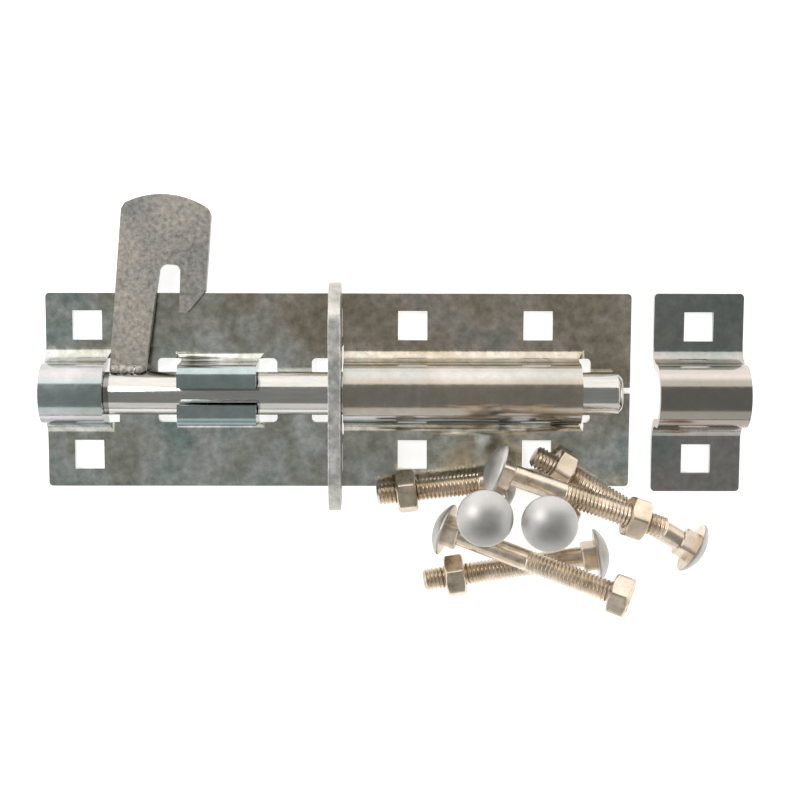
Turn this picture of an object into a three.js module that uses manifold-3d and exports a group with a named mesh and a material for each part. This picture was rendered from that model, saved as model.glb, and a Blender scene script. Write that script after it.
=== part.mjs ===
// A padlockable barrel bolt in zinc-plated steel, with its keeper strap and its cup-head fixing bolts.
// Lengths are millimetres. X runs along the rod towards the keeper, Y across the back plate, and Z out of
// its face.
import * as THREE from "three";
import { mergeVertices } from "three/addons/utils/BufferGeometryUtils.js";
import Module from "manifold-3d";

const wasm = await Module();
wasm.setup();

// Steel strip that the back plate is pressed from, and the keeper from its like
const plateLength = 150;
const stripWidth = 50;
const stripGauge = 2;
const stripCornerRadius = 1;

// Rod
const rodRadius = 5.5;
const rodStart = 1;
const rodTipMargin = 3;
const rodTipChamfer = 1.2;
const rodTailChamfer = 0.6;
const rodStandoff = 0.5;

// Guides pressed out of the back plate, each with its ends measured from the plate's left end
const guideClearance = 0.2;
const tailFootRadius = 4.6;
const slottedFootRadius = 3.2;
const longFootRadius = 4.1;
const guideFlare = 2.4;
const tailGuideLength = 15.9;
const slottedGuideStart = 34.7;
const slottedGuideLength = 19.8;
const longGuideStart = 76.2;
const noseLand = 13.5;
const handleSlotWidth = 4.3;
const slottedCrownCorner = 3.4;

// Relief windows pierced beside the ends of the guides
const windowHalfWidth = 8.3;
const tailWindowLength = 2.6;
const slottedWindowBefore = 6.2;
const slottedWindowAfter = 4.6;
const longWindowBefore = 8.2;
const longWindowAfter = 3.3;
const windowCornerRadius = 1.2;

// Square holes for the fixing bolts: two rows at the tail, and two at shares of the long guide's length
const fixingHole = 7.5;
const fixingRowSpacing = 33.5;
const tailFixing = 10.6;
const longGuideFixingShares = [0.2935, 0.8275];
const pilotNotchDepth = 2.2;
const pilotNotchWidth = 1.5;

// Keeper, a strap across the rod's line with one loop
const keeperLength = 23;
const keeperWidth = 51.4;
const keeperFixingSpacing = 34.3;
const keeperGap = 5.9;
const keeperShift = 0.6;
const keeperClearance = 0.6;
const keeperFootRadius = 4.5;

// Padlock plate, standing on edge across the back plate
const padlockPlateStart = 72.8;
const padlockPlateGauge = 3;
const padlockPlateHalfWidth = 28.5;
const padlockPlateBaseHalfWidth = 24.5;
const padlockPlateHeight = 27;
const padlockPlateCornerRadius = 11;
const padlockPlateShoulder = 10;
const padlockHoleRadius = 4.5;
const padlockHoleOffset = 18.5;
const padlockHoleHeight = 18;
const padlockRodClearance = 0.5;
const tabLength = 7;
const tabOffset = 17.5;
const tabClearance = 0.1;

// Handle flag, welded to the rod by the foot of its long leg
const flagThickness = 3;
const flagWidth = 22.8;
const flagReach = 50.9;
const flagCrownRadius = 21;
const flagCornerRadius = 1.6;
const flagFootLeft = 4.9;
const flagFootStation = 21.6;
const flagLegWidth = 9;
const flagSlotWidth = 5.4;
const flagSlotOffset = 10.7;
const flagSlotTop = 33.3;
const flagSlotCornerRadius = 1.9;
const flagShortLegEnd = 21.3;
const flagShortLegFlat = 2;
const flagShortLegTaper = 0.4;
const flagShortLegBevel = 6;
const flagLean = THREE.MathUtils.degToRad(4);
const flagDroop = THREE.MathUtils.degToRad(7);
const flagSeatGap = 0.3;
const weldBeadRadius = 1.5;
const weldBeadPitch = 2;

// Cup-head square-neck bolts and their nuts
const boltLength = 45;
const shankRadius = 2.95;
const shankChamfer = 0.8;
const cupRadius = 6.75;
const cupHeight = 3.4;
const cupRim = 0.6;
const neckWidth = 6.4;
const neckLength = 3.6;
const nutAcrossFlats = 10;
const nutHeight = 5;
const nutChamfer = 0.7;
const nutBoreClearance = 0.25;

// Origin: on the back face, on the rod's line, at the middle of the land beside the padlock plate
const landStation = 63.5;
const cutOverrun = 4;

const rodHeight = stripGauge + rodStandoff + rodRadius;
const rodLength = plateLength - rodTipMargin - rodStart;
const longGuideEnd = plateLength - noseLand;
const halfWidth = stripWidth / 2;

// Number of straight steps in round outlines and revolved pieces
const outlineSteps = 10;
const revolveSteps = 40;
const boltSteps = 20;

const zincDark = { color: 0x8d9492, roughness: 0.34, metalness: 0.9 };
const zincBright = { color: 0xb9bab4, roughness: 0.16, metalness: 1 };
const zincDull = { color: 0x8f8a84, roughness: 0.5, metalness: 0.8 };
const zincYellow = { color: 0xb0a78f, roughness: 0.28, metalness: 0.95 };

// A closed geometry as a solid that can be joined and cut.
function solidOf(geometry) {
  const bare = geometry.clone();
  bare.deleteAttribute("normal");
  bare.deleteAttribute("uv");
  const merged = mergeVertices(bare, 1e-4);
  return new wasm.Manifold(
    new wasm.Mesh({
      numProp: 3,
      vertProperties: new Float32Array(merged.attributes.position.array),
      triVerts: new Uint32Array(merged.index.array),
    }),
  );
}

// The solid back as a geometry with a flat normal on each face.
function geometryOf(solid) {
  const mesh = solid.getMesh();
  const indexed = new THREE.BufferGeometry();
  indexed.setAttribute("position", new THREE.BufferAttribute(mesh.vertProperties, 3));
  indexed.setIndex(new THREE.BufferAttribute(mesh.triVerts, 1));
  const geometry = indexed.toNonIndexed();
  geometry.computeVertexNormals();
  return geometry;
}

function extrude(shape, depth) {
  return new THREE.ExtrudeGeometry(shape, { depth, bevelEnabled: false, curveSegments: outlineSteps });
}

// An outline drawn in X and Y, standing from one height to another.
function prismZ(shape, low, high) {
  return solidOf(extrude(shape, high - low).translate(0, 0, low));
}

// An outline drawn in Y and Z, running from one station to another along X.
function prismX(shape, start, end) {
  const turn = new THREE.Matrix4().set(0, 0, 1, start, 1, 0, 0, 0, 0, 1, 0, 0, 0, 0, 0, 1);
  return solidOf(extrude(shape, end - start).applyMatrix4(turn));
}

// An outline drawn in X and Z, as wide as the strip and a little more.
function prismY(shape) {
  const width = stripWidth + 2 * cutOverrun;
  const turn = new THREE.Matrix4().set(1, 0, 0, 0, 0, 0, -1, width / 2, 0, 1, 0, 0, 0, 0, 0, 1);
  return solidOf(extrude(shape, width).applyMatrix4(turn));
}

function polygon(points) {
  return new THREE.Shape(points.map(([x, y]) => new THREE.Vector2(x, y)));
}

function rectangle(left, right, low, high) {
  return polygon([[left, low], [right, low], [right, high], [left, high]]);
}

function roundedRectangle(left, right, low, high, radius) {
  const shape = new THREE.Shape();
  shape.absarc(right - radius, low + radius, radius, -Math.PI / 2, 0);
  shape.absarc(right - radius, high - radius, radius, 0, Math.PI / 2);
  shape.absarc(left + radius, high - radius, radius, Math.PI / 2, Math.PI);
  shape.absarc(left + radius, low + radius, radius, Math.PI, 1.5 * Math.PI);
  return shape;
}

// A profile of radii and heights turned about Z.
function revolveZ(profile, steps) {
  const points = profile.map(([radius, height]) => new THREE.Vector2(radius, height));
  return solidOf(new THREE.LatheGeometry(points, steps).rotateX(Math.PI / 2));
}

// The same, turned about X at the rod's height.
function revolveX(profile) {
  const points = profile.map(([radius, station]) => new THREE.Vector2(radius, station));
  const lathe = new THREE.LatheGeometry(points, revolveSteps).rotateZ(-Math.PI / 2);
  return solidOf(lathe.translate(0, 0, rodHeight));
}

// Section of a pressed loop over the rod: vertical walls, a crown and feet that sweep into the strip.
// The crown is round when its corners have the loop's own outer radius, and flat on top when they are
// tighter.
function loopSection(clearance, footRadius, cornerRadius) {
  const inner = rodRadius + clearance;
  const outer = inner + stripGauge;
  const outerCorner = Math.min(cornerRadius, outer);
  const innerCorner = outerCorner - stripGauge;
  const innerTop = rodHeight + inner;
  const outerTop = rodHeight + outer;
  const root = outer + footRadius;
  const footHeight = stripGauge + footRadius;
  const shape = new THREE.Shape();
  shape.moveTo(-root - cutOverrun, 0);
  shape.lineTo(-root, 0);
  shape.absarc(-root, footHeight, footHeight, -Math.PI / 2, 0, false);
  shape.absarc(innerCorner - inner, innerTop - innerCorner, innerCorner, Math.PI, Math.PI / 2, true);
  shape.absarc(inner - innerCorner, innerTop - innerCorner, innerCorner, Math.PI / 2, 0, true);
  shape.absarc(root, footHeight, footHeight, Math.PI, 1.5 * Math.PI, false);
  shape.lineTo(root + cutOverrun, 0);
  shape.lineTo(root + cutOverrun, stripGauge);
  shape.absarc(root, footHeight, footRadius, -Math.PI / 2, Math.PI, true);
  shape.absarc(outer - outerCorner, outerTop - outerCorner, outerCorner, 0, Math.PI / 2, false);
  shape.absarc(outerCorner - outer, outerTop - outerCorner, outerCorner, Math.PI / 2, Math.PI, false);
  shape.absarc(-root, footHeight, footRadius, 0, -Math.PI / 2, true);
  shape.lineTo(-root - cutOverrun, stripGauge);
  return shape;
}

function loopRoot(clearance, footRadius) {
  return rodRadius + clearance + stripGauge + footRadius;
}

// What is cut from the end of a loop so that its wall is square above and flares into the strip below.
// The side is 1 at the right end of a loop and -1 at its left end.
function flareCut(end, side) {
  const beyond = end + side * (guideFlare + cutOverrun);
  const top = rodHeight + rodRadius + guideClearance + stripGauge + cutOverrun;
  const shape = new THREE.Shape();
  shape.moveTo(end, top);
  shape.lineTo(end, stripGauge + guideFlare);
  const centre = end + side * guideFlare;
  const from = side > 0 ? Math.PI : 0;
  const to = side > 0 ? 1.5 * Math.PI : -Math.PI / 2;
  shape.absarc(centre, stripGauge + guideFlare, guideFlare, from, to, side < 0);
  shape.lineTo(beyond, stripGauge);
  shape.lineTo(beyond, top);
  return prismY(shape);
}

// Where a window runs past the end of a loop: it cuts the flare away between the loop's feet.
function windowEnd(end, reach) {
  return rectangle(Math.min(end, end + reach), Math.max(end, end + reach), -windowHalfWidth, windowHalfWidth);
}

// A loop between two stations, with a flared foot at the ends that ask for one.
function pressedLoop(start, end, flares, footRadius, cornerRadius = Infinity) {
  const from = start - (flares.start ? guideFlare : 0);
  const to = end + (flares.end ? guideFlare : 0);
  let loop = prismX(loopSection(guideClearance, footRadius, cornerRadius), from, to);
  if (flares.start) loop = loop.subtract(flareCut(start, -1));
  if (flares.end) loop = loop.subtract(flareCut(end, 1));
  return loop;
}

// The opening under a loop, as wide as its feet, and the rounded window that runs past both its ends.
function loopOpenings(start, end, before, after, footRadius) {
  const root = loopRoot(guideClearance, footRadius);
  const half = windowHalfWidth;
  const flareStart = Math.min(guideFlare, before);
  const flareEnd = Math.min(guideFlare, after);
  const foot = polygon([
    [start - flareStart, -half],
    [start, -root],
    [end, -root],
    [end + flareEnd, -half],
    [end + flareEnd, half],
    [end, root],
    [start, root],
    [start - flareStart, half],
  ]);
  return [foot, roundedRectangle(start - before, end + after, -half, half, windowCornerRadius)];
}

function fixingHoles(stations, rowSpacing) {
  const half = fixingHole / 2;
  const shapes = [];
  for (const station of stations)
    for (const side of [-1, 1]) {
      const y = (side * rowSpacing) / 2;
      shapes.push(rectangle(station - half, station + half, y - half, y + half));
    }
  return shapes;
}

function cutThrough(solid, shapes) {
  const top = stripGauge + cutOverrun;
  return shapes.reduce((left, shape) => left.subtract(prismZ(shape, -cutOverrun, top)), solid);
}

// The back plate: one strip with three guides pressed up over the rod, the middle one slotted along its
// crown.
function makeBackPlate() {
  const slottedGuideEnd = slottedGuideStart + slottedGuideLength;
  const root = loopRoot(guideClearance, tailFootRadius);
  const sheared = roundedRectangle(0, plateLength, -halfWidth, halfWidth, stripCornerRadius);
  const flat = prismZ(sheared, 0, stripGauge);
  const openings = [
    rectangle(-cutOverrun, tailGuideLength, -root, root),
    ...loopOpenings(0, tailGuideLength, cutOverrun, tailWindowLength, tailFootRadius),
    ...loopOpenings(
      slottedGuideStart,
      slottedGuideEnd,
      slottedWindowBefore,
      slottedWindowAfter,
      slottedFootRadius,
    ),
    ...loopOpenings(longGuideStart, longGuideEnd, longWindowBefore, longWindowAfter, longFootRadius),
  ];
  let plate = cutThrough(flat, openings);
  plate = plate.add(pressedLoop(0, tailGuideLength, { start: false, end: true }, tailFootRadius));
  const bothEnds = { start: true, end: true };
  plate = plate.add(
    pressedLoop(slottedGuideStart, slottedGuideEnd, bothEnds, slottedFootRadius, slottedCrownCorner),
  );
  plate = plate.add(pressedLoop(longGuideStart, longGuideEnd, { start: false, end: true }, longFootRadius));
  const windowEnds = [
    windowEnd(tailGuideLength, tailWindowLength),
    windowEnd(slottedGuideStart, -guideFlare),
    windowEnd(slottedGuideEnd, guideFlare),
    windowEnd(longGuideEnd, guideFlare),
  ];
  plate = cutThrough(plate, windowEnds);
  const tabs = [-1, 1].map((side) => tabOutline(side, tabClearance));
  const notchStart = plateLength - pilotNotchDepth;
  const notch = rectangle(notchStart, plateLength + cutOverrun, -pilotNotchWidth / 2, pilotNotchWidth / 2);
  const longGuideLength = longGuideEnd - longGuideStart;
  const besideLongGuide = longGuideFixingShares.map((share) => longGuideStart + share * longGuideLength);
  const holes = fixingHoles([tailFixing, ...besideLongGuide], fixingRowSpacing);
  plate = cutThrough(plate, [...holes, ...tabs, notch]);
  const slot = rectangle(
    slottedGuideStart - cutOverrun,
    slottedGuideEnd + cutOverrun,
    -handleSlotWidth / 2,
    handleSlotWidth / 2,
  );
  return plate.subtract(prismZ(slot, rodHeight, rodHeight + rodRadius + stripGauge + cutOverrun));
}

// The keeper: a short piece of the same strip with one loop across its whole length.
function makeKeeper() {
  const half = keeperWidth / 2;
  const flat = prismZ(roundedRectangle(0, keeperLength, -half, half, stripCornerRadius), 0, stripGauge);
  const root = loopRoot(keeperClearance, keeperFootRadius);
  const opened = cutThrough(flat, [rectangle(-cutOverrun, keeperLength + cutOverrun, -root, root)]);
  const loop = prismX(loopSection(keeperClearance, keeperFootRadius, Infinity), 0, keeperLength);
  return cutThrough(opened.add(loop), fixingHoles([keeperLength / 2], keeperFixingSpacing));
}

// Where a tab of the padlock plate passes through the back plate.
function tabOutline(side, clearance) {
  const y = side * tabOffset;
  return rectangle(
    padlockPlateStart - clearance,
    padlockPlateStart + padlockPlateGauge + clearance,
    y - tabLength / 2 - clearance,
    y + tabLength / 2 + clearance,
  );
}

// The padlock plate: a rounded plate on edge with a saddle for the rod, a padlock hole each side and two
// tabs.
function makePadlockPlate() {
  const wide = padlockPlateHalfWidth;
  const base = padlockPlateBaseHalfWidth;
  const saddle = rodRadius + padlockRodClearance;
  const round = padlockPlateCornerRadius;
  const shoulder = stripGauge + padlockPlateShoulder;
  const roundHeight = padlockPlateHeight - round;
  const outline = new THREE.Shape();
  outline.moveTo(saddle, stripGauge);
  outline.lineTo(base, stripGauge);
  outline.quadraticCurveTo(wide, stripGauge, wide, shoulder);
  outline.absarc(wide - round, roundHeight, round, 0, Math.PI / 2);
  outline.absarc(round - wide, roundHeight, round, Math.PI / 2, Math.PI);
  outline.lineTo(-wide, shoulder);
  outline.quadraticCurveTo(-wide, stripGauge, -base, stripGauge);
  outline.lineTo(-saddle, stripGauge);
  outline.absarc(0, rodHeight, saddle, Math.PI, 0, true);
  for (const side of [-1, 1]) {
    const hole = new THREE.Path();
    hole.absarc(side * padlockHoleOffset, padlockHoleHeight, padlockHoleRadius, 0, 2 * Math.PI);
    outline.holes.push(hole);
  }
  const end = padlockPlateStart + padlockPlateGauge;
  const plate = prismX(outline, padlockPlateStart, end);
  return [-1, 1].reduce((solid, side) => {
    const y = side * tabOffset;
    const tab = rectangle(y - tabLength / 2, y + tabLength / 2, 0, stripGauge + cutOverrun);
    return solid.add(prismX(tab, padlockPlateStart, end));
  }, plate);
}

function makeRod() {
  const end = rodStart + rodLength;
  return revolveX([
    [0, rodStart],
    [rodRadius - rodTailChamfer, rodStart],
    [rodRadius, rodStart + rodTailChamfer],
    [rodRadius, end - rodTipChamfer],
    [rodRadius - rodTipChamfer, end],
    [0, end],
  ]);
}

// The flag, drawn with the rod's axis at the outline's origin and its long leg upright.
function makeFlag() {
  const left = -flagFootLeft;
  const right = left + flagWidth;
  const middle = (left + right) / 2;
  const crownCentre = flagReach - flagCrownRadius;
  const crownHalfAngle = Math.asin((flagWidth / 2 - flagCornerRadius / 2) / flagCrownRadius);
  const shoulder = crownCentre + flagCrownRadius * Math.cos(crownHalfAngle) - flagCornerRadius;
  const seat = rodRadius + flagSeatGap;
  const foot = (across) => (seat + across * Math.sin(flagLean)) / Math.cos(flagLean);
  const legRight = left + flagLegWidth;
  const slotLeft = left + flagSlotOffset;
  const slotRight = slotLeft + flagSlotWidth;
  const slotRound = flagSlotCornerRadius;
  const shortLeft = slotRight + flagShortLegTaper;
  const outline = new THREE.Shape();
  outline.moveTo(left, foot(left));
  outline.lineTo(legRight, foot(legRight));
  outline.lineTo(slotLeft, flagSlotTop - slotRound);
  outline.absarc(slotLeft + slotRound, flagSlotTop - slotRound, slotRound, Math.PI, Math.PI / 2, true);
  outline.absarc(slotRight - slotRound, flagSlotTop - slotRound, slotRound, Math.PI / 2, 0, true);
  outline.lineTo(shortLeft, flagShortLegEnd);
  outline.lineTo(shortLeft + flagShortLegFlat, flagShortLegEnd);
  outline.lineTo(right, flagShortLegEnd + flagShortLegBevel);
  outline.lineTo(right, shoulder);
  const upright = Math.PI / 2;
  outline.absarc(middle, crownCentre, flagCrownRadius, upright - crownHalfAngle, upright + crownHalfAngle);
  outline.lineTo(left, shoulder);
  let flag = prismZ(outline, -flagThickness / 2, flagThickness / 2);
  const ball = solidOf(new THREE.IcosahedronGeometry(weldBeadRadius, 2));
  const beadRun = flagLegWidth - 2 * weldBeadRadius;
  const beads = Math.floor(beadRun / weldBeadPitch);
  for (const side of [-1, 1])
    for (let i = 0; i <= beads; i++) {
      const across = left + weldBeadRadius + (i * beadRun) / beads;
      flag = flag.add(ball.translate([across, foot(across), (side * flagThickness) / 2]));
    }
  const channel = revolveX([
    [0, -2 * flagWidth],
    [seat, -2 * flagWidth],
    [seat, 2 * flagWidth],
    [0, 2 * flagWidth],
  ]).translate([0, 0, -rodHeight]);
  const turned = channel.rotate([0, 0, THREE.MathUtils.radToDeg(flagLean)]);
  return flag.subtract(turned);
}

// A bolt along +Z, the seat of its cup head at the origin.
function makeCupBolt(length) {
  const dome = (cupRadius ** 2 + (cupHeight - cupRim) ** 2) / (2 * (cupHeight - cupRim));
  const domeAngle = Math.asin(cupRadius / dome);
  const arcSteps = 4;
  const cap = [];
  for (let i = 0; i <= arcSteps; i++) {
    const angle = (domeAngle * i) / arcSteps;
    cap.push([dome * Math.sin(angle), dome - cupHeight - dome * Math.cos(angle)]);
  }
  const body = revolveZ(
    [
      ...cap,
      [cupRadius, 0],
      [shankRadius, 0],
      [shankRadius, length - shankChamfer],
      [shankRadius - shankChamfer, length],
      [0, length],
    ],
    boltSteps,
  );
  const half = neckWidth / 2;
  const neck = prismZ(rectangle(-half, half, -half, half), -cupRim / 2, neckLength);
  return body.add(neck);
}

// A nut on the Z axis, its middle at the origin.
function makeNut() {
  const corner = nutAcrossFlats / Math.sqrt(3);
  const half = nutHeight / 2;
  const bore = shankRadius + nutBoreClearance;
  const hexagon = solidOf(new THREE.CylinderGeometry(corner, corner, nutHeight, 6).rotateX(Math.PI / 2));
  const barrel = revolveZ(
    [
      [0, -half],
      [nutAcrossFlats / 2, -half],
      [corner, -half + nutChamfer / 2],
      [corner, half - nutChamfer / 2],
      [nutAcrossFlats / 2, half],
      [0, half],
    ],
    boltSteps,
  );
  const hole = revolveZ([[0, -nutHeight], [bore, -nutHeight], [bore, nutHeight], [0, nutHeight]], boltSteps);
  return hexagon.intersect(barrel).subtract(hole);
}

function meshOf(name, geometry, finish) {
  const mesh = new THREE.Mesh(geometry, new THREE.MeshStandardMaterial(finish));
  mesh.name = name;
  return mesh;
}

// The loose fixings, heaped as they lie in front of the plate's right half. Each head place, from the
// plate's right bottom corner, the height of the axis at the head and at the tip, and the nut's place
// along the shank are shares of the common bolt length, as is each bolt's own length; the heading is the
// way the tip points, in degrees anticlockwise from the rod's direction.
const heapShares = [
  { head: [-0.733, 0.06], rise: [0.205, 0.185], nut: 0.55, heading: 186.5, length: 0.72 },
  { head: [-0.778, 0.17], rise: [0.49, 0.43], nut: 0.82, heading: -20, length: 1 },
  { head: [0.355, -0.334], rise: [0.157, 0.18], nut: 0.885, heading: 149.5, length: 1.06 },
  { head: [-0.882, 0.0], rise: [0.987, 0.01], nut: 0.64, heading: -73, length: 1 },
  { head: [-0.541, -0.03], rise: [0.985, 0.01], nut: 0.67, heading: -40, length: 1 },
  { head: [-1.05, -0.226], rise: [0.2, 0.511], nut: 1.05, heading: -18, length: 1.11 },
  { head: [-0.193, -0.38], rise: [0.157, 0.133], nut: 0.815, heading: 188.8, length: 1 },
];

// A bolt with its nut, in a group whose +Z runs from head to tip.
function placeFixing(shares, index, nutGeometry) {
  const fixing = new THREE.Group();
  const boltGeometry = geometryOf(makeCupBolt(shares.length * boltLength));
  const [headRise, tipRise] = shares.rise;
  const climb = Math.asin((tipRise - headRise) / shares.length);
  const heading = THREE.MathUtils.degToRad(shares.heading);
  fixing.position.set(
    plateLength + shares.head[0] * boltLength,
    shares.head[1] * boltLength - halfWidth,
    headRise * boltLength,
  );
  const along = new THREE.Vector3(
    Math.cos(climb) * Math.cos(heading),
    Math.cos(climb) * Math.sin(heading),
    Math.sin(climb),
  );
  fixing.quaternion.setFromUnitVectors(new THREE.Vector3(0, 0, 1), along);
  const nut = meshOf(`hex_nut_${index}`, nutGeometry, zincYellow);
  nut.position.z = shares.nut * boltLength;
  fixing.add(meshOf(`cup_bolt_${index}`, boltGeometry, zincYellow), nut);
  return fixing;
}

const hardware = new THREE.Group();
hardware.position.x = -landStation;

hardware.add(meshOf("back_plate", geometryOf(makeBackPlate()), zincDark));
hardware.add(meshOf("padlock_plate", geometryOf(makePadlockPlate()), zincBright));
hardware.add(meshOf("bolt_rod", geometryOf(makeRod()), zincBright));

const keeper = meshOf("keeper_strap", geometryOf(makeKeeper()), zincDark);
keeper.position.set(plateLength + keeperGap, -keeperShift, 0);
hardware.add(keeper);

const hinge = new THREE.Group();
hinge.position.set(flagFootStation, 0, rodHeight);
hinge.rotation.x = -flagDroop;
const flag = meshOf("handle_flag", geometryOf(makeFlag()), zincDull);
flag.rotation.z = -flagLean;
hinge.add(flag);
hardware.add(hinge);

const nutGeometry = geometryOf(makeNut());
heapShares.forEach((shares, i) => hardware.add(placeFixing(shares, i + 1, nutGeometry)));

const boltSet = new THREE.Group();
boltSet.add(hardware);

export default boltSet;
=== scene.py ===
"""Looks for a padlockable barrel bolt in zinc-plated steel, with its keeper and its heap of cup-head bolts."""

import logging
import math
from dataclasses import dataclass
from enum import Enum

import bmesh
import bpy
import numpy as np
from mathutils import Matrix, Vector


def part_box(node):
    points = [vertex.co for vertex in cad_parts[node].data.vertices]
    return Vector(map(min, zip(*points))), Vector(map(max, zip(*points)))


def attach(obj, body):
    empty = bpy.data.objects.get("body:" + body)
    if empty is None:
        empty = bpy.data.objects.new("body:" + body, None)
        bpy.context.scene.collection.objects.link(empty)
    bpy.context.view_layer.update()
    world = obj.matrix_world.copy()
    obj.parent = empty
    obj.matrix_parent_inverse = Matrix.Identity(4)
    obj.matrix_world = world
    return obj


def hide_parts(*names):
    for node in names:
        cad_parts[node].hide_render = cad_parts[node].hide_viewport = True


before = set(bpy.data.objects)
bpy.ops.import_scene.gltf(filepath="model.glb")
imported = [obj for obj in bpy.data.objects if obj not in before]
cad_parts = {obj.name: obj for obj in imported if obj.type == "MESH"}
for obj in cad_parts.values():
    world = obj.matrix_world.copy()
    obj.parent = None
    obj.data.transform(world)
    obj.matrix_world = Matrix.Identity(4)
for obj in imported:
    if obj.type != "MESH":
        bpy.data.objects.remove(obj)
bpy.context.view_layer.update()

log = logging.getLogger("barrel_bolt")
MM = 0.001
# How far the plate's tail end lies behind the frame's origin.
LAND_STATION = 63.5 * MM

Tree = bpy.types.NodeTree
Socket = bpy.types.NodeSocket
Tone = tuple[float, float, float]
Place = tuple[float, float, float]
Span = tuple[float, float]
PLAIN: Tone = (1.0, 1.0, 1.0)


class Body(str, Enum):
    """The moving bodies of the bolt."""

    PLATE = "plate"
    ROD = "rod"
    FLAG = "flag"


class Slot(str, Enum):
    """The record's material slots."""

    STRIP = "strip_zinc"
    PLATE = "plate_zinc"
    ROD = "rod_zinc"
    FLAG = "flag_zinc"
    FIXING = "fixing_zinc"


# Finishes


@dataclass(frozen=True)
class Layers:
    """The finer layers of a noise pattern: how many they are and how strong."""

    count: float
    strength: float


CLOUD_LAYERS = Layers(3.0, 0.55)
MOTTLE_LAYERS = Layers(5.0, 0.65)
GRAIN_LAYERS = Layers(2.0, 0.5)

# Where most of a noise pattern's values lie, the narrower span over which a ramp runs through its tones, and
# the span of a share.
NOISE_SPAN: Span = (0.3, 0.7)
RAMP_SPAN: Span = (0.32, 0.68)
WHOLE: Span = (0.0, 1.0)


@dataclass(frozen=True)
class Graph:
    """A material's node tree, and the few kinds of node that a finish is made of."""

    tree: Tree

    def add(self, kind: str, operation: str = "") -> bpy.types.Node:
        """Adds a node.

        Args:
            kind: The node's type.
            operation: Its operation, if it has several.

        Returns:
            The node.
        """
        node = self.tree.nodes.new(kind)
        if operation:
            node.operation = operation
        return node

    def link(self, source: Socket, target: Socket) -> None:
        """Links two sockets."""
        self.tree.links.new(source, target)

    def place(self) -> Socket:
        """The place on the bolt, as the pieces' own coordinates."""
        return self.add("ShaderNodeTexCoord").outputs["Object"]

    def maths(self, operation: str, first: Socket, second: Socket) -> Socket:
        """Joins two values by an operation.

        Args:
            operation: The Math node's operation.
            first: The first value.
            second: The second value.

        Returns:
            The result.
        """
        node = self.add("ShaderNodeMath", operation)
        self.link(first, node.inputs[0])
        self.link(second, node.inputs[1])
        return node.outputs["Value"]

    def mixed(self, share: Socket, first: Tone | Socket, second: Tone | Socket) -> Socket:
        """Mixes two colours, of which each is a fixed tone or comes from a socket.

        Args:
            share: The share of the second colour.
            first: The colour at a share of nothing.
            second: The colour at a share of one.

        Returns:
            The mixed colour.
        """
        node = self.add("ShaderNodeMix")
        node.data_type = "VECTOR"
        self.link(share, node.inputs[0])
        # Inputs 4 and 5 and output 1 are those of a mix of vectors.
        for colour, target in ((first, node.inputs[4]), (second, node.inputs[5])):
            if isinstance(colour, tuple):
                target.default_value = colour
            else:
                self.link(colour, target)
        return node.outputs[1]

    def multiplied(self, colour: Socket, tint: Socket) -> Socket:
        """Multiplies a colour by a tint.

        Args:
            colour: The colour.
            tint: The tint.

        Returns:
            The product.
        """
        node = self.add("ShaderNodeVectorMath", "MULTIPLY")
        self.link(colour, node.inputs[0])
        self.link(tint, node.inputs[1])
        return node.outputs["Vector"]

    def scaled(self, colour: Socket, factor: Socket) -> Socket:
        """Makes a colour lighter or darker.

        Args:
            colour: The colour.
            factor: What it is multiplied by.

        Returns:
            The product.
        """
        node = self.add("ShaderNodeVectorMath", "SCALE")
        self.link(colour, node.inputs[0])
        self.link(factor, node.inputs["Scale"])
        return node.outputs["Vector"]

    def noise(self, where: Socket, size: float, layers: Layers) -> Socket:
        """Makes a noise pattern.

        Args:
            where: The coordinates.
            size: Features per metre.
            layers: Its finer layers.

        Returns:
            The pattern's value.
        """
        node = self.add("ShaderNodeTexNoise")
        node.inputs["Scale"].default_value = size
        node.inputs["Detail"].default_value = layers.count
        node.inputs["Roughness"].default_value = layers.strength
        self.link(where, node.inputs["Vector"])
        return node.outputs["Fac"]

    def spread(self, value: Socket, source: Span, target: Span = WHOLE) -> Socket:
        """Spreads a value's range over another range, held at its ends.

        Args:
            value: The value.
            source: Two values.
            target: What they become.

        Returns:
            The new value.
        """
        node = self.add("ShaderNodeMapRange")
        node.inputs["From Min"].default_value, node.inputs["From Max"].default_value = source
        node.inputs["To Min"].default_value, node.inputs["To Max"].default_value = target
        self.link(value, node.inputs["Value"])
        return node.outputs["Result"]

    def ramp(self, value: Socket, tones: tuple[Tone, ...]) -> Socket:
        """Runs a value through several tones, spaced evenly over the ramp's span.

        Args:
            value: The value.
            tones: The tones in order.

        Returns:
            The colour.
        """
        node = self.add("ShaderNodeValToRGB")
        elements = node.color_ramp.elements
        while len(elements) < len(tones):
            elements.new(1.0)
        for element, step, tone in zip(elements, np.linspace(*RAMP_SPAN, len(tones)), tones):
            element.position = float(step)
            element.color = (*tone, 1.0)
        self.link(value, node.inputs["Fac"])
        return node.outputs["Color"]


@dataclass(frozen=True)
class Tints:
    """What a finish's colour is multiplied by in each region of a pressed piece, partly as painted light and
    shade.

    Near and far are the sides towards -Y and +Y. What is raised off the flat strip has tints of its own,
    painted lighter or darker than the flat strip; the near side wall of a loop has one more, a painted shade;
    and the loops' crowns have one at the tail and one at the nose, a painted dark reflection.
    """

    near: Tone = PLAIN
    far: Tone = PLAIN
    # Painted light and shade: these tint what is raised lighter or darker than the flat strip.
    raised_shading_near: Tone = PLAIN
    raised_shading_far: Tone = PLAIN
    # Painted shade on the near flank of a loop.
    flank_shade: Tone = PLAIN
    # Painted dark reflection on the loops' crowns, one tint at the tail and one at the nose.
    tail_crown_shade: Tone = PLAIN
    nose_crown_shade: Tone = PLAIN


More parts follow.
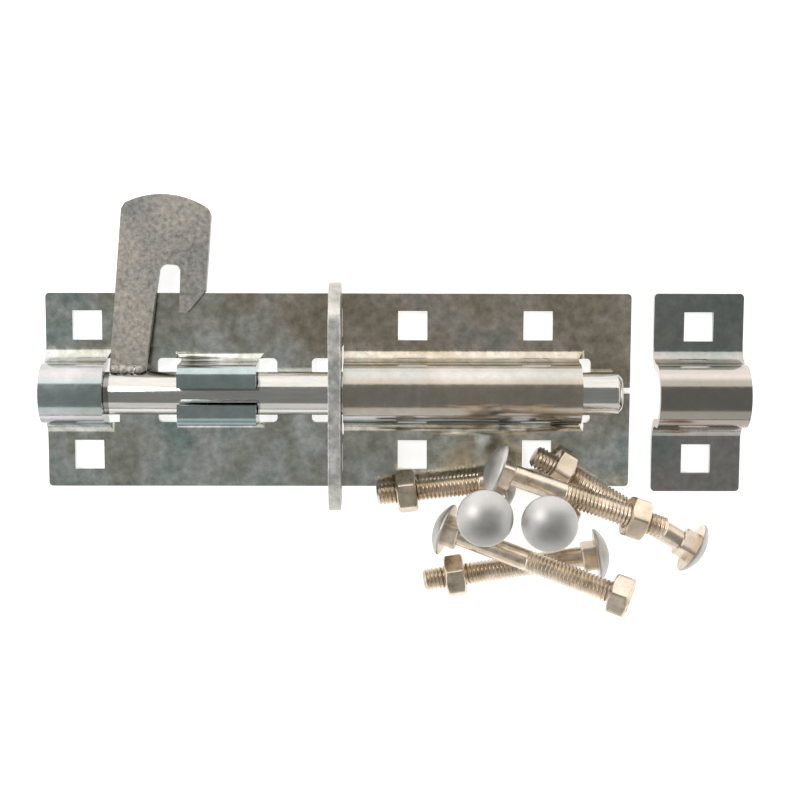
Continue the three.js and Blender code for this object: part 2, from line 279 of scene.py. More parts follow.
@dataclass(frozen=True)
class Regions:
    """Where the tints take over, as spans in metres along X, across Y or up Z.

    Near and far meet over far_across once a point's Y is shifted: by slant_shift over slant_along, so that
    the tail is near all across and only the nose has a far side, and by the wander of the large pattern.
    """

    slant_along: Span = (-20 * MM, 14 * MM)
    slant_shift: Span = (-16 * MM, 14 * MM)
    wander: Span = (-9 * MM, 9 * MM)
    far_across: Span = (2 * MM, 20 * MM)
    # Where what is raised takes its painted light and shade.
    raised_shading_height: Span = (2.3 * MM, 5.0 * MM)
    calm_height: Span = (2.3 * MM, 5.0 * MM)
    # Where the painted shade of the near flank lies, across and up.
    flank_shade_across: Span = (-5.3 * MM, -6.3 * MM)
    flank_shade_height: Span = (2.6 * MM, 4.2 * MM)
    # The height of the loops' crowns, where their painted dark reflection lies.
    crown_shade_height: Span = (13.9 * MM, 14.7 * MM)
    nose_along: Span = (2 * MM, 14 * MM)


@dataclass(frozen=True)
class Zinc:
    """A zinc-plated steel finish: a base tone that drifts between tints, partly painted light and shade, with
    grain in its gloss.

    Tones are linear colours. Cloud, mottle and grain are pattern sizes in features per metre, and stretch
    draws the patterns out along X by that factor. Evenness is how far the drift calms down on what is raised
    off the flat strip.
    """

    name: str
    tones: tuple[Tone, ...]
    roughness: Span
    cloud: float = 45.0
    mottle: float = 420.0
    mottle_depth: float = 0.25
    grain: float = 2600.0
    grain_depth: float = 0.04
    grain_height: float = 0.2 * MM
    stretch: float = 1.0
    metallic: float = 1.0
    offset: Place = (0.0, 0.0, 0.0)
    evenness: float = 0.0
    tints: Tints = Tints()
    regions: Regions = Regions()

    def build(self) -> bpy.types.Material:
        """Makes the material's node tree.

        Returns:
            The finished material.
        """
        material = bpy.data.materials.new(self.name)
        material.use_nodes = True
        graph = Graph(material.node_tree)
        shader = graph.tree.nodes["Principled BSDF"]
        shader.inputs["Metallic"].default_value = self.metallic
        mapping = graph.add("ShaderNodeMapping")
        mapping.inputs["Location"].default_value = self.offset
        mapping.inputs["Scale"].default_value = (1.0 / self.stretch, 1.0, 1.0)
        graph.link(graph.place(), mapping.inputs["Vector"])
        where = mapping.outputs["Vector"]

        cloud = graph.noise(where, self.cloud, CLOUD_LAYERS)
        mottle = graph.noise(where, self.mottle, MOTTLE_LAYERS)
        grain = graph.noise(where, self.grain, GRAIN_LAYERS)
        depth = graph.spread(mottle, NOISE_SPAN, (1.0 - self.mottle_depth, 1.0 + self.mottle_depth))
        colour = graph.scaled(graph.ramp(cloud, self.tones), depth)
        graph.link(self._tinted(graph, colour, cloud), shader.inputs["Base Color"])
        graph.link(graph.spread(mottle, NOISE_SPAN, self.roughness), shader.inputs["Roughness"])

        bump = graph.add("ShaderNodeBump")
        bump.inputs["Strength"].default_value = self.grain_depth
        bump.inputs["Distance"].default_value = self.grain_height
        graph.link(grain, bump.inputs["Height"])
        graph.link(bump.outputs["Normal"], shader.inputs["Normal"])
        return material

    def _tinted(self, graph: Graph, colour: Socket, cloud: Socket) -> Socket:
        """Evens the colour out on what is raised, and multiplies it by its region's tints, partly painted light
        and shade.

        Args:
            graph: The material's nodes.
            colour: The colour to tint.
            cloud: The large pattern, by which the line between near and far wanders.

        Returns:
            The tinted colour.
        """
        tints, regions = self.tints, self.regions
        split = graph.add("ShaderNodeSeparateXYZ")
        graph.link(graph.place(), split.inputs["Vector"])
        along, across, height = (split.outputs[axis] for axis in "XYZ")

        slant = graph.spread(along, regions.slant_along, regions.slant_shift)
        wander = graph.spread(cloud, NOISE_SPAN, regions.wander)
        shifted = graph.maths("ADD", graph.maths("ADD", across, slant), wander)
        side = graph.spread(shifted, regions.far_across)
        # Painted light and shade: what is raised is tinted lighter or darker than the flat strip.
        raised = graph.spread(height, regions.raised_shading_height)
        calm = graph.spread(height, regions.calm_height, (0.0, self.evenness))
        colour = graph.mixed(calm, colour, graph.mixed(cloud, self.tones[0], self.tones[1]))
        flat_tint = graph.mixed(side, tints.near, tints.far)
        raised_shading_tint = graph.mixed(side, tints.raised_shading_near, tints.raised_shading_far)
        colour = graph.multiplied(colour, graph.mixed(raised, flat_tint, raised_shading_tint))

        # Painted shade on the near flank of each loop, and a painted dark reflection on the loops' crowns.
        below = graph.spread(across, regions.flank_shade_across)
        lifted = graph.spread(height, regions.flank_shade_height)
        crown = graph.spread(height, regions.crown_shade_height)
        nose = graph.spread(along, regions.nose_along)
        tail = graph.spread(nose, WHOLE, (1.0, 0.0))
        for first, second, tint in (
            (below, lifted, tints.flank_shade),
            (crown, tail, tints.tail_crown_shade),
            (crown, nose, tints.nose_crown_shade),
        ):
            share = graph.maths("MULTIPLY", first, second)
            colour = graph.multiplied(colour, graph.mixed(share, PLAIN, tint))
        return colour


STRIP_ZINC = Zinc(
    "strip_zinc_rolled",
    tones=((0.35, 0.414, 0.408), (0.606, 0.587, 0.581), (0.444, 0.416, 0.366), (0.698, 0.668, 0.676)),
    roughness=(0.13, 0.22),
    cloud=44.0,
    mottle_depth=0.3,
    grain_depth=0.03,
    evenness=0.75,
    tints=Tints(
        near=(1.13, 1.22, 1.18),
        far=(1.0, 0.92, 0.8),
        # Painted shade: what is raised is darker than the flat strip.
        raised_shading_near=(1.0, 0.95, 0.98),
        raised_shading_far=(0.94, 0.91, 0.85),
        # Painted shade on the near flank, and painted dark reflections on the crowns.
        flank_shade=(0.5, 0.57, 0.6),
        tail_crown_shade=(0.82, 1.0, 0.98),
        nose_crown_shade=(0.9, 0.82, 0.74),
    ),
)
KEEPER_ZINC = Zinc(
    "keeper_zinc_rolled",
    tones=((0.301, 0.344, 0.323), (0.396, 0.391, 0.374), (0.456, 0.413, 0.396)),
    roughness=(0.12, 0.2),
    mottle_depth=0.16,
    grain_depth=0.03,
    offset=(0.3, 0.1, 0.0),
    evenness=0.75,
    tints=Tints(
        far=(0.8, 0.86, 0.84),
        # Painted light: what is raised is about half again lighter than the flat strip.
        raised_shading_near=(1.5, 1.28, 1.27),
        raised_shading_far=(1.5, 1.28, 1.25),
        # Painted shade on the near flank, and a painted dark reflection on the nose crown.
        flank_shade=(0.62, 0.58, 0.55),
        nose_crown_shade=(0.6, 0.62, 0.58),
    ),
)
PADLOCK_ZINC = Zinc(
    "padlock_plate_zinc",
    tones=((0.62, 0.63, 0.60), (0.92, 0.90, 0.87), (0.80, 0.76, 0.74)),
    roughness=(0.3, 0.46),
    cloud=160.0,
    # Painted light: below its top edge the plate is darkened to half, so the top edge is painted lighter than
    # its faces.
    tints=Tints(near=(0.5, 0.5, 0.48), far=(0.5, 0.49, 0.46)),
    regions=Regions(raised_shading_height=(24.5 * MM, 26.8 * MM)),
)
ROD_ZINC = Zinc(
    "rod_zinc_drawn",
    tones=((0.504, 0.521, 0.496), (0.554, 0.546, 0.521), (0.487, 0.487, 0.462)),
    roughness=(0.1, 0.16),
    stretch=7.0,
    mottle=600.0,
    mottle_depth=0.1,
    grain_depth=0.02,
)
FLAG_ZINC = Zinc(
    "flag_zinc_dull",
    tones=((0.265, 0.27, 0.265), (0.385, 0.367, 0.34), (0.47, 0.435, 0.385)),
    roughness=(0.42, 0.58),
    metallic=0.85,
    mottle=900.0,
    mottle_depth=0.34,
    grain=1800.0,
    grain_depth=0.12,
)
WELD_ZINC = Zinc(
    "weld_zinc_spatter",
    tones=((0.05, 0.05, 0.04), (0.42, 0.41, 0.37), (0.9, 0.88, 0.82)),
    roughness=(0.15, 0.4),
    cloud=800.0,
    mottle=1500.0,
    mottle_depth=0.5,
    grain_depth=0.5,
)
FIXING_ZINC = Zinc(
    "fixing_zinc_warm",
    tones=((0.538, 0.461, 0.346), (0.71, 0.605, 0.49), (0.672, 0.595, 0.518)),
    roughness=(0.24, 0.38),
    cloud=120.0,
    mottle_depth=0.2,
)
CUP_ZINC = Zinc(
    "cup_zinc_satin",
    tones=((0.45, 0.442, 0.43), (0.512, 0.504, 0.49), (0.477, 0.468, 0.462)),
    roughness=(0.42, 0.48),
    cloud=90.0,
    mottle_depth=0.05,
    grain_depth=0.02,
)


# Surfaces

# How close two points of a new piece, and of a copied solid, lie to count as one, in metres.
SAME_POINT = 2e-6
SAME_CORNER = 4e-6
# The longest edge that counts as none, in metres, and how flat two faces meet to count as one, in radians.
SLIVER = 1e-7
FLAT = math.radians(0.5)
# The angle in degrees below which edges of a new piece shade smoothly, and above which a copy's are eased.
SMOOTH_BELOW = 35.0
EASED_ABOVE = 32.0
# How many strips make up an eased edge, and to how many decimals of a metre a solid's points are read.
EDGE_SEGMENTS = 2
DECIMALS = 7


def circle(around: int) -> np.ndarray:
    """The angles of a whole turn, in radians, in as many even steps."""
    return np.linspace(0, 2 * np.pi, around, endpoint=False)


def turned(radius: np.ndarray, angle: np.ndarray, height: np.ndarray) -> np.ndarray:
    """Points at given radii, angles and heights about z."""
    return np.stack([radius * np.cos(angle), radius * np.sin(angle), height], axis=-1)


def skin(rows: np.ndarray) -> tuple[np.ndarray, np.ndarray]:
    """Joins a grid of points into quads: each row closes round on itself, and rows follow one another.

    Args:
        rows: Points as (row, place round the row, xyz).

    Returns:
        The points as (n, 3) and the faces as (m, 4).
    """
    count, around, _ = rows.shape
    row = np.arange(count - 1)[:, None] * around
    place = np.arange(around)[None, :]
    following = (place + 1) % around
    corners = [row + place, row + following, row + around + following, row + around + place]
    return rows.reshape(-1, 3), np.stack(corners, axis=-1).reshape(-1, 4)


def closed_piece(name: str, rows: np.ndarray, smooth_below: float = SMOOTH_BELOW) -> bpy.types.Object:
    """Makes an object from a grid whose first and last rows shrink to points or meet each other.

    Args:
        name: The object's name.
        rows: The grid, as skin takes it.
        smooth_below: Edges flatter than this many degrees shade smoothly.

    Returns:
        The new object, with its faces turned outwards.
    """
    points, faces = skin(rows)
    mesh = bpy.data.meshes.new(name)
    mesh.from_pydata(points.tolist(), [], faces.tolist())
    return _finished(name, mesh, smooth_below)


def _finished(name: str, mesh: bpy.types.Mesh, smooth_below: float) -> bpy.types.Object:
    """Merges a mesh's doubles, turns its faces outwards, sets its shading and makes it an object.

    Args:
        name: The object's name.
        mesh: The mesh to finish.
        smooth_below: Edges flatter than this many degrees shade smoothly.

    Returns:
        The new object.
    """
    work = bmesh.new()
    work.from_mesh(mesh)
    bmesh.ops.remove_doubles(work, verts=work.verts, dist=SAME_POINT)
    bmesh.ops.dissolve_degenerate(work, edges=work.edges, dist=SLIVER)
    bmesh.ops.recalc_face_normals(work, faces=work.faces)
    work.to_mesh(mesh)
    work.free()
    mesh.polygons.foreach_set("use_smooth", np.ones(len(mesh.polygons), dtype=bool))
    mesh.set_sharp_from_angle(angle=math.radians(smooth_below))
    piece = bpy.data.objects.new(name, mesh)
    bpy.context.scene.collection.objects.link(piece)
    return piece


def eased_copy(node: str, name: str, edge: float) -> bpy.types.Object:
    """Copies a solid's mesh, joins its loose triangles into whole faces and eases its sharp edges.

    Args:
        node: The solid's name.
        name: The new piece's name.
        edge: The width of the eased edge, in metres.

    Returns:
        The new piece.
    """
    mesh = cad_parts[node].data.copy()
    mesh.materials.clear()
    work = bmesh.new()
    work.from_mesh(mesh)
    bmesh.ops.remove_doubles(work, verts=work.verts, dist=SAME_CORNER)
    bmesh.ops.dissolve_limit(work, angle_limit=FLAT, verts=work.verts, edges=work.edges)
    work.to_mesh(mesh)
    work.free()
    piece = _finished(name, mesh, EASED_ABOVE)
    bevel = piece.modifiers.new("eased_edges", "BEVEL")
    bevel.width = edge
    bevel.segments = EDGE_SEGMENTS
    bevel.limit_method = "ANGLE"
    bevel.angle_limit = math.radians(EASED_ABOVE)
    bevel.harden_normals = True
    bevel.use_clamp_overlap = True
    return piece


def dress(piece: bpy.types.Object, finish: bpy.types.Material, slot: Slot, body: Body, *nodes: str) -> None:
    """Gives a piece its finish, its body and the solids that it stands for.

    Args:
        piece: The piece.
        finish: Its material.
        slot: The record's material slot. Not used.
        body: The body that it rides on.
        nodes: The solids that it replaces, if any.
    """
    piece.data.materials.append(finish)
    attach(piece, body.value)
    if nodes:
        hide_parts(*nodes)
    log.info("made %s", piece.name)


def node_points(node: str) -> np.ndarray:
    """Reads a solid's vertices.

    Args:
        node: The solid's name.

    Returns:
        The points as (n, 3), in metres, each once.
    """
    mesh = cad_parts[node].data
    points = np.zeros(len(mesh.vertices) * 3, dtype=np.float32)
    mesh.vertices.foreach_get("co", points)
    return np.unique(points.reshape(-1, 3).astype(float).round(DECIMALS), axis=0)


def about(points: np.ndarray, origin: np.ndarray, axis: np.ndarray) -> tuple[np.ndarray, np.ndarray]:
    """Measures points from a line.

    Args:
        points: The points as (n, 3).
        origin: A point on the line.
        axis: The line's unit direction.

    Returns:
        How far each point lies along the line, and how far out from it.
    """
    along = (points - origin) @ axis
    return along, np.linalg.norm(points - origin - along[:, None] * axis, axis=1)


@dataclass(frozen=True)
class Seat:
    """A place and three directions: where a turned piece has its own origin, and its own x, y and z."""

    origin: np.ndarray
    x: np.ndarray
    y: np.ndarray
    z: np.ndarray

    def place(self, points: np.ndarray) -> np.ndarray:
        """Points of the piece's own frame, moved into the bolt's frame."""
        return self.origin + points[..., :1] * self.x + points[..., 1:2] * self.y + points[..., 2:3] * self.z


def seat_along(axis: np.ndarray, origin: np.ndarray, corner: np.ndarray) -> Seat:
    """A seat whose z is the axis and whose x points at a corner vertex.

    Args:
        axis: The unit direction of z.
        origin: The seat's origin, on the axis.
        corner: The vertex that x leans to.

    Returns:
        The seat.
    """
    out = corner - origin
    out = out - (out @ axis) * axis
    x = out / np.linalg.norm(out)
    return Seat(origin, x, np.cross(axis, x), axis)


# The bolt's own pieces

# The rod's radius, and how high its axis lies over the floor.
ROD_RADIUS = 5.5 * MM
ROD_HEIGHT = 8 * MM


@dataclass(frozen=True)
class Strips:
    """The pressed back plate and the keeper, with their sheared edges eased."""

    edge: float = 0.28 * MM

    def build(self) -> None:
        """Makes both strips."""
        for node, name, finish in (
            ("back_plate", "back_plate_pressed", STRIP_ZINC),
            ("keeper_strap", "keeper_pressed", KEEPER_ZINC),
        ):
            dress(eased_copy(node, name, self.edge), finish.build(), Slot.STRIP, Body.PLATE, node)


@dataclass(frozen=True)
class PadlockPlate:
    """The padlock plate across the rod, with blanked edges."""

    edge: float = 0.35 * MM

    def build(self) -> None:
        """Makes the plate."""
        piece = eased_copy("padlock_plate", "padlock_plate_blanked", self.edge)
        dress(piece, PADLOCK_ZINC.build(), Slot.PLATE, Body.PLATE, "padlock_plate")


@dataclass(frozen=True)
class Rod:
    """The drawn rod: a circle carried along X, with a rounded break at each end's chamfer.

    The breaks are points in order along the rod, each as how far it lies from that end and how far in from
    the rod's radius.
    """

    tail_break: tuple[Span, ...] = (
        (0.0, 0.7 * MM),
        (0.03 * MM, 0.6 * MM),
        (0.5 * MM, 0.12 * MM),
        (0.7 * MM, 0.0),
    )
    tip_break: tuple[Span, ...] = (
        (1.4 * MM, 0.0),
        (1.1 * MM, 0.14 * MM),
        (0.12 * MM, 1.15 * MM),
        (0.0, 1.4 * MM),
    )
    around: int = 96

    def build(self) -> None:
        """Makes the rod between its solid's ends."""
        low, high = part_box("bolt_rod")
        profile = np.array(
            [
                (low.x, 0.0),
                *((low.x + back, ROD_RADIUS - inwards) for back, inwards in self.tail_break),
                *((high.x - back, ROD_RADIUS - inwards) for back, inwards in self.tip_break),
                (high.x, 0.0),
            ]
        )
        angle = circle(self.around)
        along = np.repeat(profile[:, :1], self.around, axis=1)
        across = profile[:, 1:] * np.cos(angle)
        height = ROD_HEIGHT + profile[:, 1:] * np.sin(angle)
        rows = np.stack([along, across, height], axis=-1)
        dress(closed_piece("rod_drawn", rows), ROD_ZINC.build(), Slot.ROD, Body.ROD, "bolt_rod")


@dataclass(frozen=True)
class Flag:
    """The handle flag and the rippled weld that holds its foot to the rod.

    The flag stands at a station along the rod, leans towards the nose and droops from level. Its leg reaches
    from left over its own width, and its foot keeps a clearance from the rod. The weld is a bead with ripples
    at a pitch. It starts and ends inset_share of its radius inside the leg, sinks a little into the flag, is
    flattened, is dragged along as by a torch and is lifted just off the rod.
    """

    edge: float = 0.35 * MM
    station: float = 21.6 * MM - LAND_STATION
    lean: float = math.radians(4)
    droop: float = math.radians(7)
    left: float = -4.9 * MM
    leg: float = 9 * MM
    thickness: float = 3 * MM
    clearance: float = 0.3 * MM
    bead: float = 1.55 * MM
    inset_share: float = 0.8
    ripple: float = 0.22 * MM
    ripple_pitch: float = 1.5 * MM
    ripple_phase: float = 0.4
    bluntness: int = 10
    sink: float = 0.1 * MM
    flattening: float = 0.85
    drag: float = 0.35 * MM
    lift: float = 0.06 * MM
    smooth_below: float = 60.0
    around: int = 28
    along: int = 120

    def build(self) -> None:
        """Makes the flag and its weld on both faces."""
        flag = eased_copy("handle_flag", "handle_flag_blanked", self.edge)
        dress(flag, FLAG_ZINC.build(), Slot.FLAG, Body.FLAG, "handle_flag")
        finish = WELD_ZINC.build()
        for side, name in ((1, "weld_upper"), (-1, "weld_lower")):
            weld = closed_piece(name, self.bead_rows(side), self.smooth_below)
            dress(weld, finish, Slot.FLAG, Body.FLAG)

    def bead_rows(self, side: int) -> np.ndarray:
        """The weld's grid: a circle carried along the foot, its radius waving as a row of overlapping arcs.

        The radius is the bead's, plus the ripple times the size of a sine along the run, shrunk to nothing at
        both ends, and every point is kept just outside the rod.

        Args:
            side: 1 for the upper face of the flag, -1 for the lower.

        Returns:
            The grid.
        """
        run = np.linspace(0.0, 1.0, self.along)
        inset = self.inset_share * self.bead
        across = self.left + inset + run * (self.leg - 2 * inset)
        foot = (ROD_RADIUS + self.clearance + across * math.sin(self.lean)) / math.cos(self.lean)
        turn = np.pi * (across - across[0]) / self.ripple_pitch + self.ripple_phase * side
        close = np.sqrt(np.clip(1.0 - np.abs(2.0 * run - 1.0) ** self.bluntness, 0.0, 1.0))
        radius = ((self.bead - self.ripple + self.ripple * np.abs(np.sin(turn))) * close)[:, None]
        angle = circle(self.around)
        u = across[:, None] + self.drag * np.sin(angle) * side
        v = (foot - self.sink)[:, None] + radius * np.cos(angle)
        w = side * self.thickness / 2 + radius * np.sin(angle) * self.flattening
        x = u * math.cos(self.lean) + v * math.sin(self.lean)
        y = -u * math.sin(self.lean) + v * math.cos(self.lean)
        turned_y = y * math.cos(self.droop) + w * math.sin(self.droop)
        turned_z = -y * math.sin(self.droop) + w * math.cos(self.droop)
        distance = np.hypot(turned_y, turned_z)
        push = np.maximum(distance, ROD_RADIUS + self.lift) / distance
        return np.stack([self.station + x, turned_y * push, ROD_HEIGHT + turned_z * push], axis=-1)


# The fixings


@dataclass(frozen=True)
class CupBolt:
    """A cup-head square-neck bolt with a rolled thread, in its own frame: z from the head's seat to the tip.

    The rim's points are heights over the seat and how far in they lie from the head's radius. The neck and
    the thread start and end over a small step, the squareness is the power that rounds the neck's corners,
    and the sharpness the power that shapes the thread's crests.
    """

    head_radius: float = 6.75 * MM
    head_height: float = 3.4 * MM
    rim_height: float = 0.6 * MM
    rim: tuple[Span, ...] = ((-0.42 * MM, 0.0), (-0.12 * MM, 0.03 * MM), (0.0, 0.2 * MM))
    cap_rows: int = 14
    cap_share: float = 0.97
    seat_share: float = 0.78
    neck: float = 6.4 * MM
    neck_length: float = 3.6 * MM
    neck_chamfer: Span = (0.35 * MM, 0.3 * MM)
    squareness: int = 9
    shank: float = 2.72 * MM
    plain_least: float = 2 * MM
    step: float = 0.05 * MM
    thread: float = 2.95 * MM
    pitch: float = 1.0 * MM
    depth: float = 0.45 * MM
    sharpness: float = 1.3
    threaded: float = 28 * MM
    tip_chamfer: float = 0.8 * MM
    tip_edge: float = 0.1 * MM
    around: int = 48
    per_pitch: int = 9
    crown_within: float = 0.05 * MM
    corner_within: float = 0.3 * MM

    def rows(self, length: float) -> np.ndarray:
        """The bolt's grid, from the crown of its head to the middle of its tip.

        The head is a ball's cap with a rolled rim. The neck's rows are rounded squares, the shank's circles. On
        the thread, radius falls from the crest by the depth times a sharpened wave of z over the pitch minus
        the angle over a turn, and the wave fades in where the thread runs out.

        Args:
            length: From the head's seat to the tip.

        Returns:
            The grid, in the bolt's own frame.
        """
        rise = self.head_height - self.rim_height
        dome = (self.head_radius**2 + rise**2) / (2 * rise)
        swing = np.linspace(0.0, math.asin(self.head_radius / dome) * self.cap_share, self.cap_rows)
        cap = np.stack([dome - self.head_height - dome * np.cos(swing), dome * np.sin(swing)], axis=-1)
        rim = np.array([(z, self.head_radius - inwards) for z, inwards in self.rim])
        seat = np.array([(0.0, self.neck * self.seat_share)])
        fall, narrowing = self.neck_chamfer
        neck = np.array(
            [
                (0.0, self.neck / 2),
                (self.neck_length - fall, self.neck / 2),
                (self.neck_length, self.neck / 2 - narrowing),
            ]
        )
        start = max(length - self.threaded, self.neck_length + self.plain_least)
        plain = np.array([(self.neck_length + self.step, self.shank), (start - self.step, self.shank)])
        turns = np.arange(start, length - self.tip_edge, self.pitch / self.per_pitch)
        cut = np.stack([turns, np.full_like(turns, self.thread)], axis=-1)
        tip = np.array([(length, self.thread - self.tip_chamfer), (length, 0.0)])
        profile = np.concatenate([cap, rim, seat, neck, plain, cut, tip])
        row = np.arange(len(profile))[:, None]
        neck_start = len(cap) + len(rim) + len(seat)
        on_neck = (row >= neck_start) & (row < neck_start + len(neck))
        tip_start = len(profile) - len(tip)
        on_thread = (row >= tip_start - len(turns)) & (row < tip_start)

        angle = circle(self.around)
        eighth = angle + np.pi / 4
        power = self.squareness
        square = (np.abs(np.cos(eighth)) ** power + np.abs(np.sin(eighth)) ** power) ** (-1 / power)
        radius = profile[:, 1:] * np.where(on_neck, square, 1.0)
        z = np.repeat(profile[:, :1], self.around, axis=1)
        wave = (z / self.pitch - angle / (2 * np.pi)) % 1.0
        valley = np.abs(2 * wave - 1) ** self.sharpness
        fade = np.clip((z - start) / self.pitch, 0, 1)
        cutting = self.depth * (1 - valley) * fade + (self.thread - self.shank) * (1 - fade)
        end_fall = np.clip(z - (length - self.tip_chamfer), 0, self.tip_chamfer)
        radius = np.where(on_thread, np.minimum(radius - cutting, self.thread - end_fall), radius)
        return turned(radius, angle, z)

    def seat(self, node: str) -> tuple[Seat, float]:
        """Where a bolt's solid lies: its longest direction, turned to point from head to tip.

        Args:
            node: The solid's name.

        Returns:
            The seat, and the length from the head's seat to the tip.
        """
        points = node_points(node)
        centre = points.mean(axis=0)
        axis = np.linalg.svd(points - centre)[2][0]
        along, out = about(points, centre, axis)
        if along[out.argmax()] > 0:
            along = -along
        tip = points[np.abs(along - along.max()) < self.crown_within].mean(axis=0)
        crown = points[along.argmin()]
        reach = np.linalg.norm(tip - crown)
        axis = (tip - crown) / reach
        origin = crown + axis * self.head_height
        along, out = about(points, origin, axis)
        neck_end = np.abs(along - self.neck_length) < self.corner_within
        corner = points[neck_end][out[neck_end].argmax()]
        return seat_along(axis, origin, corner), float(reach - self.head_height)


@dataclass(frozen=True)
class HexNut:
    """A hex nut with both faces chamfered and a threaded bore, in its own frame about its middle.

    The corners reach corner_share and the flat faces face_share of half the width over flats. Each edge is
    broken over edge_in and a little above and below it.
    """

    flats: float = 10 * MM
    height: float = 5 * MM
    corner_share: float = 1.135
    face_share: float = 0.95
    chamfer: float = math.radians(30)
    edge_in: float = 0.12 * MM
    edge_above: float = 0.05 * MM
    edge_below: float = 0.08 * MM
    bore: float = 3.0 * MM
    mouth: float = 0.5 * MM
    bore_rows: int = 38
    thread_depth: float = 0.2 * MM
    pitch: float = 1.0 * MM
    smooth_below: float = 28.0
    around: int = 96

    def rows(self) -> np.ndarray:
        """The nut's grid: one closed path from the bore over the upper face, down the flats and back below.

        The flats' radius is half the width over flats divided by the cosine of the angle from the nearest
        flat's middle, and both faces fall away outside a circle just inside the flats, as a cone does.

        Returns:
            The grid, whose first row follows its last.
        """
        angle = circle(self.around)
        sixth = np.pi / 3
        inside, half = self.flats / 2, self.height / 2
        hexagon = np.minimum(inside / np.cos((angle % sixth) - sixth / 2), inside * self.corner_share)
        face = np.full_like(angle, inside * self.face_share)
        drop = (hexagon - face) * math.tan(self.chamfer)
        inner = np.linspace(self.mouth - half, half - self.mouth, self.bore_rows)
        wave = (inner[:, None] / self.pitch - angle / (2 * np.pi)) % 1.0
        bore = self.bore + self.thread_depth * np.abs(2 * wave - 1)
        mouth = np.full_like(angle, self.bore + self.mouth)
        level = np.full_like(angle, half)
        edge = hexagon - self.edge_in
        upper_radii = [mouth, face, edge, hexagon]
        upper = [level, level, half - drop + self.edge_above, half - drop - self.edge_below]
        radii = np.concatenate([bore, upper_radii, upper_radii[::-1], bore[:1]])
        lower = [-row for row in upper[::-1]]
        bore_heights = np.repeat(inner[:, None], self.around, axis=1)
        heights = np.concatenate([bore_heights, upper, lower, bore_heights[:1]])
        return turned(radii, angle, heights)

    def seat(self, node: str, axis: np.ndarray) -> Seat:
        """Where a nut's solid lies.

        Args:
            node: The solid's name.
            axis: The direction of its bolt.

        Returns:
            The seat, with x at one of the hexagon's corners.
        """
        points = node_points(node)
        along = points @ axis
        origin = points.mean(axis=0)
        origin = origin + axis * ((along.min() + along.max()) / 2 - origin @ axis)
        out = about(points, origin, axis)[1]
        return seat_along(axis, origin, points[out.argmax()])


@dataclass(frozen=True)
class Heap:
    """The loose bolts, each with its nut. A cup's faces lie further behind the bolt's seat than cup_behind."""

    count: int = 7
    bolt: CupBolt = CupBolt()
    nut: HexNut = HexNut()
    cup_behind: float = 0.02 * MM

    def build(self) -> None:
        """Makes every bolt and nut where its solid lies."""
        finish = FIXING_ZINC.build()
        satin = CUP_ZINC.build()
        for index in range(1, self.count + 1):
            seat, length = self.bolt.seat(f"cup_bolt_{index}")
            bolt = closed_piece(f"cup_bolt_threaded_{index}", seat.place(self.bolt.rows(length)))
            dress(bolt, finish, Slot.FIXING, Body.PLATE, f"cup_bolt_{index}")
            bolt.data.materials.append(satin)
            self._paint_cup(bolt, seat)
            nut_rows = self.nut.seat(f"hex_nut_{index}", seat.z).place(self.nut.rows())
            nut = closed_piece(f"hex_nut_chamfered_{index}", nut_rows, self.nut.smooth_below)
            dress(nut, finish, Slot.FIXING, Body.PLATE, f"hex_nut_{index}")

    def _paint_cup(self, bolt: bpy.types.Object, seat: Seat) -> None:
        """Gives the faces of a bolt's cup, which lie behind its seat, the second finish.

        Args:
            bolt: The bolt, with both finishes.
            seat: Where it lies.
        """
        centres = np.zeros(len(bolt.data.polygons) * 3)
        bolt.data.polygons.foreach_get("center", centres)
        behind = (centres.reshape(-1, 3) - seat.origin) @ seat.z < -self.cup_behind
        bolt.data.polygons.foreach_set("material_index", behind.astype(np.int32))


# Studio


@dataclass(frozen=True)
class Softbox:
    """A rectangular light that faces the plate: the place of its middle, its size in metres and its watts."""

    name: str
    place: Place
    size: Span
    power: float
    tone: Tone = (1.0, 0.97, 0.94)
    aim: Place = (0.02, 0.0, 0.05)

    def build(self) -> None:
        """Adds the light."""
        light = bpy.data.lights.new(self.name, "AREA")
        light.shape = "RECTANGLE"
        light.size, light.size_y = self.size
        light.energy = self.power
        light.color = self.tone
        lamp = bpy.data.objects.new(self.name, light)
        lamp.location = self.place
        away = Vector(self.aim) - Vector(self.place)
        lamp.rotation_euler = away.to_track_quat("-Z", "Y").to_euler()
        bpy.context.scene.collection.objects.link(lamp)


SOFTBOXES = (
    Softbox("key_softbox", (0.02, 0.95, 0.43), (2.4, 0.92), 9.4),
    Softbox("fill_softbox", (0.02, -0.95, 0.42), (2.4, 0.66), 3.4),
    Softbox("tail_softbox", (-0.95, 0.0, 0.4), (1.2, 0.8), 3.0),
    Softbox("nose_softbox", (1.0, 0.0, 0.4), (1.2, 0.8), 3.0),
    Softbox("crown_softbox", (-0.5, 0.38, 0.66), (0.28, 0.28), 1.8),
)


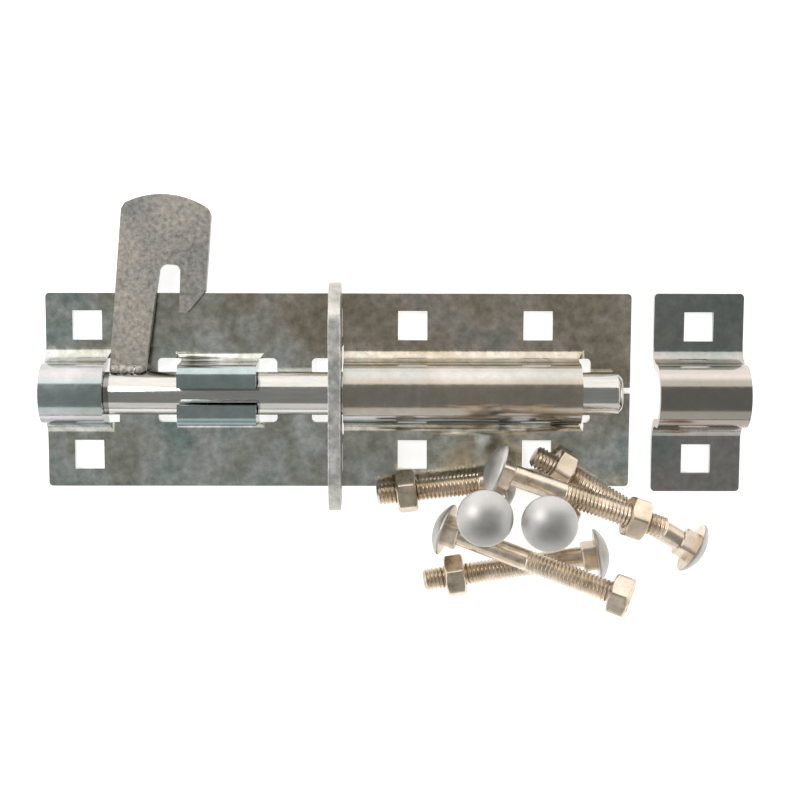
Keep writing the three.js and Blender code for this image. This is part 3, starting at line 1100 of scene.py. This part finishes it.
@dataclass(frozen=True)
class Floor:
    """A wide plane of pale paper just under the back plate. Side is half its width."""

    side: float = 6.0
    level: float = -0.05 * MM
    tone: Tone = (0.92, 0.92, 0.92)
    roughness: float = 0.9
    specular: float = 0.1
    glow: float = 0.7

    def build(self) -> None:
        """Adds the floor."""
        mesh = bpy.data.meshes.new("studio_floor")
        corners = [(self.side * x, self.side * y, self.level) for x, y in ((-1, -1), (1, -1), (1, 1), (-1, 1))]
        mesh.from_pydata(corners, [], [(0, 1, 2, 3)])
        floor = bpy.data.objects.new("studio_floor", mesh)
        bpy.context.scene.collection.objects.link(floor)
        material = bpy.data.materials.new("floor_paper")
        material.use_nodes = True
        shader = material.node_tree.nodes["Principled BSDF"]
        shader.inputs["Base Color"].default_value = (*self.tone, 1)
        shader.inputs["Roughness"].default_value = self.roughness
        shader.inputs["Specular IOR Level"].default_value = self.specular
        shader.inputs["Emission Color"].default_value = (*PLAIN, 1)
        shader.inputs["Emission Strength"].default_value = self.glow
        mesh.materials.append(material)


@dataclass(frozen=True)
class Camera:
    """The camera over the plate: its place in mm from the plate's tail, and its turns about X, then Y, then Z.

    The focal share is the lens's length as a share of the picture's width.
    """

    place: Place = (85.226, 57.490, 455.383)
    turns: tuple[float, float, float] = (0.131528, 0.0119548, -0.00145035)
    focal_share: float = 1773.78 / 800
    sensor: float = 36.0
    clip: Span = (0.01, 20.0)

    def build(self) -> None:
        """Adds the camera."""
        turn_x, turn_y, turn_z = (Matrix.Rotation(turn, 3, axis) for turn, axis in zip(self.turns, "XYZ"))
        data = bpy.data.cameras.new("camera")
        data.sensor_width = self.sensor
        data.lens = self.focal_share * self.sensor
        data.clip_start, data.clip_end = self.clip
        camera = bpy.data.objects.new("camera", data)
        camera.matrix_world = (turn_z @ turn_y @ turn_x).transposed().to_4x4()
        camera.location = Vector(self.place) * MM - Vector((LAND_STATION, 0, 0))
        bpy.context.scene.collection.objects.link(camera)
        bpy.context.scene.camera = camera


@dataclass(frozen=True)
class Studio:
    """A pale floor in an even dim room, softboxes on all sides and the camera."""

    ambient: float = 0.32
    ambient_tone: Tone = (0.99, 1.0, 0.98)

    def build(self) -> None:
        """Sets the floor, the room, the lights and the camera."""
        Floor().build()
        self._room()
        for item in (*SOFTBOXES, Camera()):
            item.build()
        bpy.context.scene.view_settings.view_transform = "Standard"

    def _room(self) -> None:
        """Lights the whole scene evenly."""
        world = bpy.data.worlds.new("studio_room")
        world.use_nodes = True
        background = world.node_tree.nodes["Background"]
        background.inputs["Color"].default_value = (*self.ambient_tone, 1)
        background.inputs["Strength"].default_value = self.ambient
        bpy.context.scene.world = world


def main() -> None:
    """Builds the studio and every piece in order."""
    logging.basicConfig(level=logging.INFO)
    for part in (Studio(), Strips(), PadlockPlate(), Rod(), Flag(), Heap()):
        part.build()


if __name__ == "__main__":
    main()
